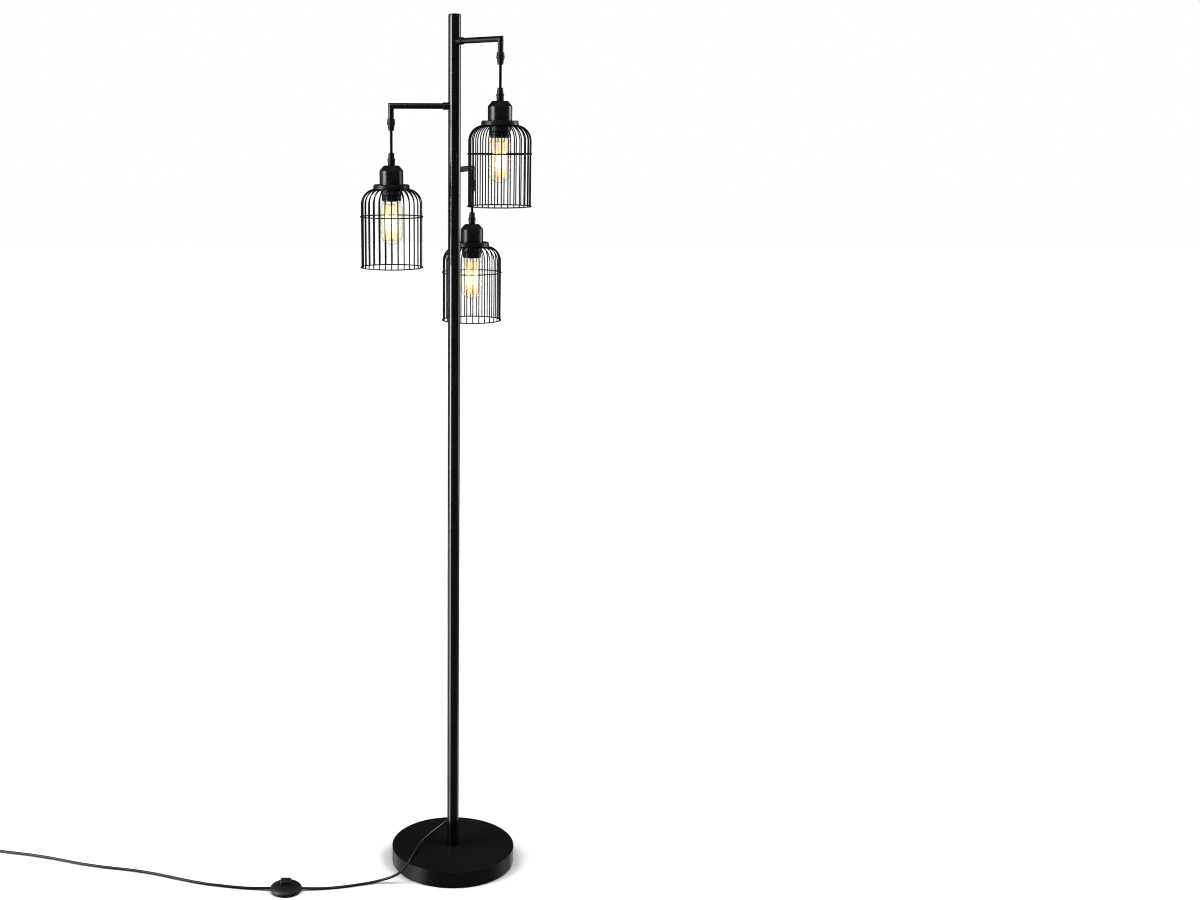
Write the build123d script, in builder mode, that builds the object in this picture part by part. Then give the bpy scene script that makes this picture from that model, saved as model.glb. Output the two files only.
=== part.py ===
from build123d import *
import os
from math import cos, sin, tan, radians, pi, hypot, acos, degrees

# Floor lamp with three caged pendant lights on one tall pole.
# +Z is up, Y runs away from the front, X to the right.  The origin is on the
# pole's axis, on the surface that the base stands on.  Millimetres.

# ---- base ----
base_r = 133.0          # radius of the round base
base_top = 37.0         # height of its flat top
pad_h = 3.0             # soft pad under it, a little smaller than the cover
sheet = 1.5             # cover's sheet thickness

# ---- pole ----
pole_r = 12.5
pole_wall = 1.2
joint_z = [400.0, 750.0, 1100.0, 1450.0]    # where the screw-together sections meet
pole_top_z = 1801.0

# ---- arms ----
arm_out = 129.0         # pole axis to pendant axis
arm_r = 5.5             # arm tube's outer radius
first_azimuth = -47.0   # the upper arm; the others follow at thirds of a turn
lights = [              # name, azimuth, height of the arm tube's top line
    ("upper", first_azimuth, 1756.0),
    ("middle", first_azimuth + 240.0, 1630.5),
    ("lower", first_azimuth + 120.0, 1505.0),
]
collar_r, collar_end = 7.1, 24.0

# ---- pendant, measured down from the arm's top line ----
h_drop = 30.6           # drop tube disappears into the grip
h_seat = 38.6           # drop tube's end, inside the grip
h_grip = 42.4           # grip body to grip nut
h_mouth = 53.6          # grip nut's mouth
h_pivot = 51.6          # centre of the cord's upper end, where it swings
h_low_pivot = 99.2      # centre of the cord's lower end
h_low_top = 97.2        # lower nut's top
h_low_nut = 109.0       # lower nut's foot
h_cup = 122.0           # cup's flat top
h_disc = 159.2          # cage's disc, upper face
h_under = 167.4         # cage's disc, underside
h_skirt = 179.4         # foot of the ring that clamps the disc
h_socket = 191.9        # socket's mouth
h_mid_ring = 222.9
h_low_ring = 323.9
h_bulb = 279.0          # bulb's lowest point
cord_r = 2.7            # pendant cord's radius
swing_cone = 25.5       # how far the flared mouth lets the cord lean
cup_r = 23.7
disc_r = 36.7
cage_r = 60.6           # wires' centre line
wire_r = 1.0
shoulder_r = 30.0       # bend of each wire at the cage's top
ring_r = 62.55          # rings' centre line, just outside the wires
wire_count = 30
wire_phase = -88.4
bulb_r = 22.5

# ---- mains lead ----
lead_r = 2.6
z_on_base = base_top + lead_r + 0.25
z_on_floor = lead_r + 0.3
z_switch = 5.7          # where the lead enters the foot switch
coil_low = 1.0

# ---- foot switch ----
sw_x, sw_y, sw_r = -353.5, -142.8, 33.5
sw_rim, sw_dome = 5.5, 17.2

os.makedirs("parts", exist_ok=True)


def save(part, name):
    part.label = name
    export_step(part, "parts/" + name + ".step")


def half_plane(azimuth=0.0, z=0.0):
    """Upright plane through the pole's axis: x runs outwards, y up."""
    a = radians(azimuth)
    return Plane(origin=(0, 0, z), x_dir=(cos(a), sin(a), 0), z_dir=(sin(a), -cos(a), 0))


def seat(azimuth, z, straight=False):
    """Level plane where a pendant hangs: x runs outwards, or along the lamp's own X."""
    a = radians(azimuth)
    return Plane(
        origin=(arm_out * cos(a), arm_out * sin(a), z),
        x_dir=(1, 0, 0) if straight else (cos(a), sin(a), 0),
        z_dir=(0, 0, 1),
    )


def down(points):
    """Profile points given as (radius, depth)."""
    return [(r, -h) for r, h in points]


def route_radii(points):
    """Largest arc for each corner of a cord's route, from its shorter run."""
    v = [Vector(*p) for p in points]
    runs = [(b - a).length for a, b in zip(v, v[1:])]
    out = []
    for i in range(1, len(v) - 1):
        turn = radians((v[i] - v[i - 1]).get_angle(v[i + 1] - v[i]))
        out.append(0.45 * min(runs[i - 1], runs[i]) / tan(turn / 2))
    return out, runs


# =====================================================================  base
with BuildPart() as base_cover:
    with BuildSketch(Plane.XY.offset(pad_h)):
        Circle(base_r)
    extrude(amount=base_top - pad_h)
    fillet(base_cover.edges().filter_by(GeomType.CIRCLE).group_by(Axis.Z)[-1], 0.9)
    with BuildSketch(Plane.XY.offset(pad_h)):
        Circle(base_r - sheet)
    extrude(amount=base_top - pad_h - sheet, mode=Mode.SUBTRACT)
    with BuildSketch(Plane.XY.offset(base_top - 2 * sheet)):
        Circle(5.3)
    extrude(amount=3 * sheet, mode=Mode.SUBTRACT)
save(base_cover.part, "base_cover")

with BuildPart() as base_weight:
    with BuildSketch(half_plane()):
        Polygon(
            (5.3, 35.45), (28, 35.45), (31, 14), (128, 14), (129, 13), (129, 4), (128.1, 3.1),
            (13, 3.1), (13, 9), (5.3, 9), align=None,
        )
    revolve(axis=Axis.Z)
save(base_weight.part, "base_weight")

with BuildPart() as base_pad:
    with BuildSketch():
        Circle(base_r - 2.4)
    extrude(amount=pad_h)
    chamfer(base_pad.edges().filter_by(GeomType.CIRCLE).group_by(Axis.Z)[0], 0.4)
save(base_pad.part, "base_pad")

with BuildPart() as base_nut:
    with BuildSketch(Plane.XY.offset(7.4)):
        Circle(11.5)
        Circle(5.1, mode=Mode.SUBTRACT)
    extrude(amount=1.5)
    with BuildSketch(Plane.XY.offset(3.4)):
        RegularPolygon(radius=9.2, side_count=6)
        Circle(5.0, mode=Mode.SUBTRACT)
    extrude(amount=3.9)
save(base_nut.part, "base_nut")

# =====================================================================  pole
exit_azimuth, exit_z = 189.6, 92.6      # where the mains lead leaves the pole


def tube_outline(bottom, top):
    """Wall of a hollow pole section with a small bevel at each end."""
    inner = pole_r - pole_wall
    return [
        (inner, bottom), (pole_r - 0.45, bottom), (pole_r, bottom + 0.45),
        (pole_r, top - 0.45), (pole_r - 0.45, top), (inner, top),
    ]


with BuildPart() as pole_bottom:
    with BuildSketch(half_plane()):
        Polygon(*tube_outline(base_top, joint_z[0]), align=None)
    revolve(axis=Axis.Z)
    a = radians(exit_azimuth)
    with BuildSketch(Plane(origin=(0, 0, exit_z), x_dir=(-sin(a), cos(a), 0), z_dir=(cos(a), sin(a), 0))):
        Circle(4.1)
    extrude(amount=20, mode=Mode.SUBTRACT)
save(pole_bottom.part, "pole_bottom")

with BuildPart() as pole_middle:
    for low, high in zip(joint_z, joint_z[1:]):
        with BuildSketch(half_plane()):
            Polygon(*tube_outline(low + 0.02, high - 0.02), align=None)
        revolve(axis=Axis.Z)
save(pole_middle.part, "pole_middle")

with BuildPart() as pole_upper:
    with BuildSketch(half_plane()):
        Polygon(*tube_outline(joint_z[-1], pole_top_z), align=None)
    revolve(axis=Axis.Z)
    for name, azimuth, top in lights:
        a = radians(azimuth)
        with BuildSketch(
            Plane(origin=(0, 0, top - arm_r), x_dir=(-sin(a), cos(a), 0), z_dir=(cos(a), sin(a), 0))
        ):
            Circle(5.1)
        extrude(amount=20, mode=Mode.SUBTRACT)
save(pole_upper.part, "pole_upper")

with BuildPart() as pole_connectors:
    nip = pole_r - pole_wall - 0.05
    for z in joint_z:
        with BuildSketch(half_plane()):
            Polygon(
                (8.2, z - 18), (nip - 0.8, z - 18), (nip, z - 17), (nip, z + 17),
                (nip - 0.8, z + 18), (8.2, z + 18), align=None,
            )
        revolve(axis=Axis.Z)
    # foot plug with the long stud that goes down through the base
    with BuildSketch(half_plane()):
        Polygon(
            (0, 3.6), (4.4, 3.6), (4.95, 4.2), (4.95, base_top + 0.05), (nip, base_top + 0.05),
            (nip, 61), (nip - 0.8, 62), (0, 62), align=None,
        )
    revolve(axis=Axis.Z)
save(pole_connectors.part, "pole_connectors")

cap_edge, cap_rise = 12.45, 1.9
cap_top = pole_top_z + 0.9 + cap_rise
cap_ball = (cap_edge**2 + cap_rise**2) / (2 * cap_rise)     # radius of the shallow dome
with BuildPart() as pole_cap:
    with BuildSketch(half_plane()):
        with BuildLine():
            foot = pole_top_z - 12
            rest = pole_top_z + 0.05
            Polyline(
                (0, foot), (nip - 1, foot), (nip, foot + 1.5), (nip, rest), (cap_edge, rest),
                (cap_edge, cap_top - cap_rise),
            )
            ThreePointArc(
                (cap_edge, cap_top - cap_rise),
                (cap_edge / 2, cap_top - cap_ball + (cap_ball**2 - cap_edge**2 / 4) ** 0.5),
                (0, cap_top),
            )
            Line((0, cap_top), (0, foot))
        make_face()
    revolve(axis=Axis.Z)
save(pole_cap.part, "pole_cap")

# =====================================================================  arms
out = Axis((0, 0, 0), (1, 0, 0))
with BuildPart() as collar:
    with BuildSketch(half_plane()):
        Polygon(
            (8, 0), (8, collar_r), (collar_end - 0.9, collar_r), (collar_end, collar_r - 0.7),
            (collar_end, 0), align=None,
        )
    revolve(axis=out)
    with BuildSketch(Plane.XY.offset(-20)):
        Circle(pole_r + 0.02)
    extrude(amount=40, mode=Mode.SUBTRACT)
    # threaded neck that goes in through the pole's wall
    with BuildSketch(half_plane()):
        Polygon((4.6, 0), (4.6, 5.0), (14, 5.0), (14, 0), align=None)
    revolve(axis=out)
    with BuildSketch(half_plane()):
        Polygon((4, 0), (4, 3.4), (14, 3.4), (14, arm_r + 0.03), (30, arm_r + 0.03), (30, 0), align=None)
    revolve(axis=out, mode=Mode.SUBTRACT)

with BuildPart() as arm_collars:
    for name, azimuth, top in lights:
        with Locations(Location((0, 0, top - arm_r), (0, 0, azimuth))):
            add(collar.part)
save(arm_collars.part, "arm_collars")

with BuildPart() as arm_nuts:
    for name, azimuth, top in lights:
        a = radians(azimuth)
        with BuildSketch(
            Plane(
                origin=(5.0 * cos(a), 5.0 * sin(a), top - arm_r),
                x_dir=(-sin(a), cos(a), 0), z_dir=(cos(a), sin(a), 0),
            )
        ):
            RegularPolygon(radius=7.3, side_count=6)
            Circle(5.05, mode=Mode.SUBTRACT)
        extrude(amount=3.2)
save(arm_nuts.part, "arm_nuts")

with BuildPart() as arm_tubes:
    for name, azimuth, top in lights:
        a = radians(azimuth)
        side = half_plane(azimuth, top - arm_r)
        with BuildLine(side) as bend:
            Polyline((14.1, 0), (arm_out, 0), (arm_out, arm_r - h_seat + 0.1))
        with BuildSketch(
            Plane(
                origin=(14.1 * cos(a), 14.1 * sin(a), top - arm_r),
                x_dir=(-sin(a), cos(a), 0), z_dir=(cos(a), sin(a), 0),
            )
        ):
            Circle(arm_r)
            Circle(arm_r - 1.0, mode=Mode.SUBTRACT)
        sweep(path=bend.wires()[0], transition=Transition.RIGHT)
save(arm_tubes.part, "arm_tubes")

with BuildPart() as inner_wiring:
    for name, azimuth, top in lights:
        with BuildLine(half_plane(azimuth)) as run:
            FilletPolyline(
                (3.0, 98), (3.0, top - arm_r), (arm_out, top - arm_r), (arm_out, top - 38),
                radius=[3.0, 3.0],
            )
        a = radians(azimuth)
        with BuildSketch(Plane(origin=(3.0 * cos(a), 3.0 * sin(a), 98), z_dir=(0, 0, 1))):
            Circle(1.3)
        sweep(path=run.wires()[0])
save(inner_wiring.part, "inner_wiring")

# =====================================================================  pendant pieces, each drawn once
with BuildPart() as grip_body:
    with BuildSketch(half_plane()):
        Polygon(
            *down([
                (arm_r + 0.03, h_drop), (6.9, h_drop), (7.15, h_drop + 0.4), (8.05, h_grip - 1.3),
                (8.05, h_grip), (4.8, h_grip), (4.8, h_grip + 3.6), (3.2, h_grip + 3.6),
                (3.2, h_seat), (arm_r + 0.03, h_seat),
            ]),
            align=None,
        )
    revolve(axis=Axis.Z)

flare = tan(radians(swing_cone))
with BuildPart() as grip_nut:
    with BuildSketch(half_plane()):
        Polygon(
            *down([
                (4.85, h_grip + 0.1), (6.8, h_grip + 0.1), (5.45, h_mouth - 0.3), (5.15, h_mouth),
                (2.78 + (h_mouth - h_pivot + 0.6) * flare, h_mouth), (2.78, h_pivot - 0.6),
                (2.75, h_pivot - 0.8), (2.75, h_grip + 3.9), (4.85, h_grip + 3.9),
            ]),
            align=None,
        )
    revolve(axis=Axis.Z)

with BuildPart() as cord:
    with BuildSketch(half_plane()):
        with BuildLine():
            c = cos(radians(45)) * cord_r
            ThreePointArc((0, -(h_pivot - cord_r)), (c, -(h_pivot - c)), (cord_r, -h_pivot))
            Line((cord_r, -h_pivot), (cord_r, -h_low_pivot))
            ThreePointArc((cord_r, -h_low_pivot), (c, -(h_low_pivot + c)), (0, -(h_low_pivot + cord_r)))
            Line((0, -(h_low_pivot + cord_r)), (0, -(h_pivot - cord_r)))
        make_face()
    revolve(axis=Axis.Z)

with BuildPart() as low_grip:
    # nut with a flared mouth round the cord
    with BuildSketch(half_plane()):
        Polygon(
            *down([
                (3.25, h_low_top), (5.1, h_low_top), (5.35, h_low_top + 0.3), (6.45, h_low_nut),
                (4.85, h_low_nut), (4.85, h_low_nut - 4.4), (2.75, h_low_nut - 4.4),
                (2.75, h_low_pivot + 0.2),
            ]),
            align=None,
        )
    revolve(axis=Axis.Z)
    # body with its raised flange and the threaded neck into the cup
    with BuildSketch(half_plane()):
        Polygon(
            *down([
                (3.1, h_low_nut - 3.9), (4.8, h_low_nut - 3.9), (4.8, h_low_nut + 0.2),
                (7.5, h_low_nut + 0.2), (7.8, h_low_nut + 0.6), (7.8, 111.9), (7.15, 112.2),
                (6.85, h_cup - 0.02), (4.95, h_cup - 0.02), (4.95, 131), (3.1, 131),
            ]),
            align=None,
        )
    revolve(axis=Axis.Z)
    # lock nut inside the cup
    with BuildSketch(Plane.XY.offset(-127.2)):
        RegularPolygon(radius=8.0, side_count=6)
        Circle(5.0, mode=Mode.SUBTRACT)
    extrude(amount=3.9)

with BuildPart() as cup:
    with BuildSketch(half_plane()):
        Polygon(
            *down([
                (5.1, h_cup), (15.0, h_cup), (15.6, h_cup + 0.35), (cup_r - 0.3, 131.7), (cup_r, 132.7),
                (cup_r, h_disc - 0.02), (cup_r - 1.2, h_disc - 0.02), (cup_r - 1.2, 132.9), (14.7, 123.2),
                (5.1, 123.2),
            ]),
            align=None,
        )
    revolve(axis=Axis.Z)

with BuildPart() as disc:
    # spun pan with a slightly flared side
    with BuildSketch(half_plane()):
        with BuildLine():
            Polyline(
                *down([
                    (34.2, h_disc), (20.1, h_disc), (20.1, h_disc + 1.5), (33.9, h_disc + 1.5),
                    (35.25, h_under), (disc_r, h_under), (35.7, h_disc + 1.6),
                ])
            )
            ThreePointArc((35.7, -(h_disc + 1.6)), (35.2, -(h_disc + 0.45)), (34.2, -h_disc))
        make_face()
    revolve(axis=Axis.Z)
    # flat plate that closes it, which the wires are welded to
    with BuildSketch(half_plane()):
        Polygon(
            *down([(20.1, h_under - 1.5), (34.85, h_under - 1.5), (35.1, h_under), (20.1, h_under)]),
            align=None,
        )
    revolve(axis=Axis.Z)

z_wire = -(h_under + wire_r - 0.05)     # centre line where the wires lie under the plate
with BuildPart() as wire:
    with BuildLine(half_plane()) as bent:
        Line((cage_r, -(h_low_ring + 1.0)), (cage_r, z_wire - shoulder_r))
        TangentArc((cage_r, z_wire - shoulder_r), (cage_r - shoulder_r, z_wire), tangent=(0, 1))
        Line((cage_r - shoulder_r, z_wire), (cage_r - shoulder_r - 3.0, z_wire))
    with BuildSketch(Plane(origin=(cage_r, 0, -(h_low_ring + 1.0)), x_dir=(1, 0, 0), z_dir=(0, 0, 1))):
        Circle(wire_r)
    sweep(path=bent.wires()[0])

with BuildPart() as rings:
    with Locations((0, 0, -h_mid_ring), (0, 0, -h_low_ring)):
        Torus(ring_r, wire_r)

with BuildPart() as skirt:
    with BuildSketch(half_plane()):
        Polygon(
            *down([
                (19.85, h_under + 0.02), (21.0, h_under + 0.02), (21.6, h_under + 0.8), (21.6, h_skirt - 1.2),
                (20.9, h_skirt), (19.85, h_skirt),
            ]),
            align=None,
        )
    revolve(axis=Axis.Z)
    # finger grooves round it
    with BuildSketch(Plane.XY.offset(-(h_skirt - 1.4))):
        with PolarLocations(22.0, 36):
            Circle(0.85)
    extrude(amount=h_skirt - h_under - 4.0, mode=Mode.SUBTRACT)

with BuildPart() as socket:
    ridges = []
    h = h_skirt + 0.6
    while h < h_socket - 2.2:
        ridges += [(18.9, h), (19.7, h + 0.6), (19.7, h + 1.2), (18.9, h + 1.8)]
        h += 2.5
    with BuildSketch(half_plane()):
        Polygon(
            *down(
                [(3.0, 135.0), (15.5, 135.0), (17.0, 137.0), (17.0, 158.0), (19.75, 158.0), (19.75, h_skirt + 0.2)]
                + ridges
                + [
                    (18.9, h_socket - 0.6), (18.4, h_socket), (17.0, h_socket), (16.4, h_socket - 0.8),
                    (16.4, 186.0), (13.5, 184.5), (13.5, 163.4), (3.0, 163.4),
                ]
            ),
            align=None,
        )
    revolve(axis=Axis.Z)

with BuildPart() as bulb_cap:
    crests = []
    h = 171.0
    while h < 185.0:
        crests += [(12.75, h), (13.1, h + 0.9), (13.1, h + 1.6), (12.75, h + 2.5)]
        h += 3.2
    with BuildSketch(half_plane()):
        Polygon(
            *down(
                [(0, 163.9), (4.2, 163.9), (4.8, 164.6), (5.0, 165.4), (9.5, 167.2), (12.6, 169.6)]
                + crests
                + [(12.9, 187.4), (12.3, 187.4), (12.3, 171.0), (9.0, 168.6), (0, 167.2)]
            ),
            align=None,
        )
    revolve(axis=Axis.Z)

with BuildPart() as bulb_glass:
    with BuildSketch(half_plane()):
        with BuildLine():
            w = 0.8
            straight = h_bulb - bulb_r
            Line((12.15, -176.0), (12.15, -186.6))
            Spline(
                (12.15, -186.6), (15.7, -192.2), (20.2, -199.6), (bulb_r, -208.0),
                tangents=((0, -1), (0, -1)),
            )
            Line((bulb_r, -208.0), (bulb_r, -straight))
            ThreePointArc(
                (bulb_r, -straight), (bulb_r * cos(pi / 4), -(straight + bulb_r * sin(pi / 4))), (0, -h_bulb)
            )
            Line((0, -h_bulb), (0, -(h_bulb - w)))
            ri = bulb_r - w
            ThreePointArc(
                (0, -(h_bulb - w)), (ri * cos(pi / 4), -(straight + ri * sin(pi / 4))), (ri, -straight)
            )
            Line((ri, -straight), (ri, -208.0))
            Spline(
                (ri, -208.0), (20.2 - 0.75, -199.9), (15.7 - 0.62, -192.7), (12.15 - w, -186.6),
                tangents=((0, 1), (0, 1)),
            )
            Line((12.15 - w, -186.6), (12.15 - w, -176.0))
            Line((12.15 - w, -176.0), (12.15, -176.0))
        make_face()
    revolve(axis=Axis.Z)

with BuildPart() as strand:
    with BuildLine(half_plane()) as loop:
        FilletPolyline((0.4, -207.5), (10.8, -210.5), (10.8, -258.0), (0.4, -261.5), radius=[1.6, 1.6])
    with BuildSketch(Plane(origin=(0.4, 0, -207.5), z_dir=(10.4, 0, -3.0))):
        Circle(0.42)
    sweep(path=loop.wires()[0])

with BuildPart() as filament:
    # glass stem and the mast that carries the filament's loops
    with BuildSketch(half_plane()):
        Polygon(
            *down([
                (0, 184.0), (7.0, 184.0), (7.0, 185.0), (4.2, 189.5), (3.2, 196.0), (2.4, 203.5), (1.1, 206.0),
                (0.8, 207.0), (0.8, 264.0), (0, 264.0),
            ]),
            align=None,
        )
    revolve(axis=Axis.Z)
    with PolarLocations(0, 8, start_angle=10):
        add(strand.part)

# =====================================================================  pendants in place
with BuildPart() as arm_grips:
    for name, azimuth, top in lights:
        with Locations(Location((arm_out * cos(radians(azimuth)), arm_out * sin(radians(azimuth)), top), (0, 0, azimuth))):
            add(grip_body.part)
save(arm_grips.part, "arm_grips")

with BuildPart() as arm_grip_nuts:
    for name, azimuth, top in lights:
        with Locations(Location((arm_out * cos(radians(azimuth)), arm_out * sin(radians(azimuth)), top), (0, 0, azimuth))):
            add(grip_nut.part)
save(arm_grip_nuts.part, "arm_grip_nuts")

for name, azimuth, top in lights:
    place = seat(azimuth, top)
    for piece, label in (
        (cord, "cord"), (low_grip, "shade_grip"), (cup, "cup"), (disc, "cage_disc"),
        (rings, "cage_rings"), (skirt, "shade_ring"), (socket, "socket"),
        (bulb_cap, "bulb_cap"), (bulb_glass, "bulb_glass"), (filament, "bulb_filament"),
    ):
        with BuildPart(place) as placed:
            add(piece.part)
        save(placed.part, name + "_" + label)
    with BuildPart(seat(azimuth, top, straight=True)) as cage_wires:
        with PolarLocations(0, wire_count, start_angle=wire_phase):
            add(wire.part)
    save(cage_wires.part, name + "_cage_wires")

# =====================================================================  mains lead
lamp_side = [
    (-17.9, -2.1, 88.2), (-41.0, -2.2, 69.8), (-70.7, -5.3, z_on_base + 1.4), (-84.0, -44.4, z_on_base + 0.4),
    (-91.0, -67.5, z_on_base + 3.4), (-97.5, -88.5, 47.4), (-105.0, -105.5, 40.0), (-114.5, -113.0, 25.6),
    (-128.0, -112.5, 11.9), (-144.5, -109.5, 4.2), (-168.0, -110.5, z_on_floor), (-203.0, -121.5, z_on_floor),
    (-245.0, -136.0, z_on_floor), (-288.0, -142.0, z_on_floor + 0.7), (sw_x + sw_r - 2.2, sw_y, z_switch),
]
plug_side = [
    (sw_x - sw_r + 2.2, sw_y, z_switch), (-425.0, -140.5, z_on_floor + 0.6), (-473.0, -131.5, z_on_floor),
    (-531.0, -118.5, z_on_floor), (-588.0, -97.0, z_on_floor), (-645.0, -73.0, z_on_floor),
    (-703.0, -56.0, z_on_floor), (-762.0, -44.0, z_on_floor), (-821.0, -27.0, z_on_floor),
    (-880.0, -4.0, z_on_floor), (-938.0, 14.0, z_on_floor), (-996.0, 27.0, z_on_floor),
    (-1051.0, 41.5, z_on_floor + 0.4), (-1085.0, 53.0, coil_low + lead_r),
]
# the wound-up length lies in a ring that the lead runs into
(bx, by, _), (ex, ey, _) = plug_side[-2:]
ux, uy = (ex - bx) / hypot(ex - bx, ey - by), (ey - by) / hypot(ex - bx, ey - by)  # the lead's heading there
nx, ny = uy, -ux                                                # to its right
coil_x, coil_y = ex + 30.7 * nx, ey + 30.7 * ny
coil_in, coil_out, coil_h = 22.6, 33.5, 10.8
out_x, out_y = coil_x - 28.0 * nx, coil_y - 28.0 * ny           # where the last turn leaves it
tail = [
    (out_x + 12 * ux, out_y + 12 * uy, 9.2), (out_x + 26 * ux, out_y + 26 * uy, 7.2),
    (out_x + 40 * ux, out_y + 40 * uy, 7.2),
]


def lead_tube(points):
    """Round cord along straight runs joined by the largest arcs that fit."""
    radii, runs = route_radii(points)
    start, after = Vector(*points[0]), Vector(*points[1])
    with BuildPart() as tube:
        with BuildLine() as path:
            FilletPolyline(*points, radius=radii)
        with BuildSketch(Plane(origin=points[0], z_dir=(after - start).normalized())):
            Circle(lead_r)
        sweep(path=path.wires()[0])
    length = path.wires()[0].length
    print(
        "cord", round(length, 1), "runs", [round(r, 1) for r in runs], "radii", [round(r, 1) for r in radii],
        "volume", round(tube.part.volume, 1), "section x length", round(pi * lead_r**2 * length, 1),
    )
    return tube


lead_lamp_side = lead_tube(lamp_side)
save(lead_lamp_side.part, "lead_lamp_side")

long_run = lead_tube(plug_side)
short_end = lead_tube(tail)
with BuildPart() as lead_plug_side:
    add(long_run.part)
    add(short_end.part)
save(lead_plug_side.part, "lead_plug_side")

with BuildPart() as lead_coil:
    with BuildSketch(Plane(origin=(coil_x, coil_y, coil_low))):
        Circle(coil_out)
        Circle(coil_in, mode=Mode.SUBTRACT)
    extrude(amount=coil_h)
    fillet(lead_coil.edges().filter_by(GeomType.CIRCLE), 2.4)
save(lead_coil.part, "lead_coil")

with BuildPart() as coil_tie:
    # strap round the bundle, on the ring's far side from the lamp
    mid = (coil_in + coil_out) / 2
    with BuildSketch(
        Plane(
            origin=(coil_x + mid * ux, coil_y + mid * uy, coil_low + coil_h / 2),
            x_dir=(ux, uy, 0), z_dir=(uy, -ux, 0),
        )
    ):
        RectangleRounded(coil_out - coil_in + 2.7, coil_h + 1.8, 2.6)
        RectangleRounded(coil_out - coil_in + 0.9, coil_h + 0.1, 1.8, mode=Mode.SUBTRACT)
    extrude(amount=4.0, both=True)
save(coil_tie.part, "coil_tie")

with BuildPart() as lead_grommet:
    a = radians(exit_azimuth)
    out = Axis((0, 0, exit_z), (cos(a), sin(a), 0))
    with BuildSketch(half_plane(exit_azimuth, exit_z)):
        Polygon((8, 0), (8, 5.6), (13.6, 5.6), (14.4, 4.8), (14.4, 0), align=None)
    revolve(axis=out)
    # short tapered nose that points down along the lead
    p0, p1 = Vector(*lamp_side[0]), Vector(*lamp_side[1])
    along = (p1 - p0).normalized()
    with BuildSketch(Plane(origin=p0 - along * 6.4, z_dir=along)):
        Circle(4.3)
    with BuildSketch(Plane(origin=p0, z_dir=along)):
        Circle(3.3)
    loft()
    with BuildSketch(Plane.XY.offset(exit_z - 15)):
        Circle(pole_r + 0.02)
    extrude(amount=30, mode=Mode.SUBTRACT)
    # bush through the hole in the pole
    with BuildSketch(half_plane(exit_azimuth, exit_z)):
        Polygon((9.6, 0), (9.6, 4.0), (13.5, 4.0), (13.5, 0), align=None)
    revolve(axis=out)
save(lead_grommet.part, "lead_grommet")

# =====================================================================  plug
plug = Plane(origin=tail[-1], x_dir=(nx, ny, 0), z_dir=(ux, uy, 0))
pin_gap, pin_r, pin_len = 9.4, 2.0, 19.0
with BuildPart() as plug_body:
    with BuildSketch(plug):
        Circle(3.3)
    with BuildSketch(plug.offset(24)):
        Circle(4.9)
    loft()
    with BuildSketch(plug.offset(24)):
        RectangleRounded(15, 10.4, 4.6)
    with BuildSketch(plug.offset(37)):
        RectangleRounded(35.2, 13.6, 6.2)
    loft()
    with BuildSketch(plug.offset(37)):
        RectangleRounded(35.2, 13.6, 6.2)
    extrude(amount=21)
    # flexing grooves round the tapered neck
    for s in (5.0, 9.0, 13.0, 17.0, 21.0):
        with BuildSketch(plug.offset(s)):
            Circle(7)
            Circle(2.95 + s * 0.0667, mode=Mode.SUBTRACT)
        extrude(amount=1.4, mode=Mode.SUBTRACT)
    with BuildSketch(plug.offset(48)):
        with Locations((-pin_gap, 0), (pin_gap, 0)):
            Circle(pin_r + 0.03)
    extrude(amount=12, mode=Mode.SUBTRACT)
save(plug_body.part, "plug_body")

with BuildPart() as plug_pins:
    with BuildSketch(plug.offset(48.1)):
        with Locations((-pin_gap, 0), (pin_gap, 0)):
            Circle(pin_r)
    extrude(amount=9.9 + pin_len)
    fillet(plug_pins.edges().filter_by(GeomType.CIRCLE).group_by(Axis(tail[-1], (ux, uy, 0)))[-1], 1.4)
save(plug_pins.part, "plug_pins")

# =====================================================================  foot switch
on_switch = Plane(origin=(sw_x, sw_y, 0))
screw_y = 21.0


def switch_profile():
    """Upright plane through the switch's middle."""
    return Plane(origin=(sw_x, sw_y, 0), x_dir=(1, 0, 0), z_dir=(0, -1, 0))


with BuildPart() as switch_base:
    with BuildSketch(switch_profile()):
        Polygon((0, 0), (30.8, 0), (31.4, 0.6), (31.4, 3.0), (0, 3.0), align=None)
    revolve(axis=Axis((sw_x, sw_y, 0), (0, 0, 1)))
    with BuildSketch(on_switch):
        with Locations((0, -screw_y), (0, screw_y)):
            Circle(3.1)
    extrude(amount=1.7, mode=Mode.SUBTRACT)
    with BuildSketch(on_switch):
        with Locations((0, -screw_y), (0, screw_y)):
            Circle(1.7)
    extrude(amount=4, mode=Mode.SUBTRACT)
save(switch_base.part, "switch_base")

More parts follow.
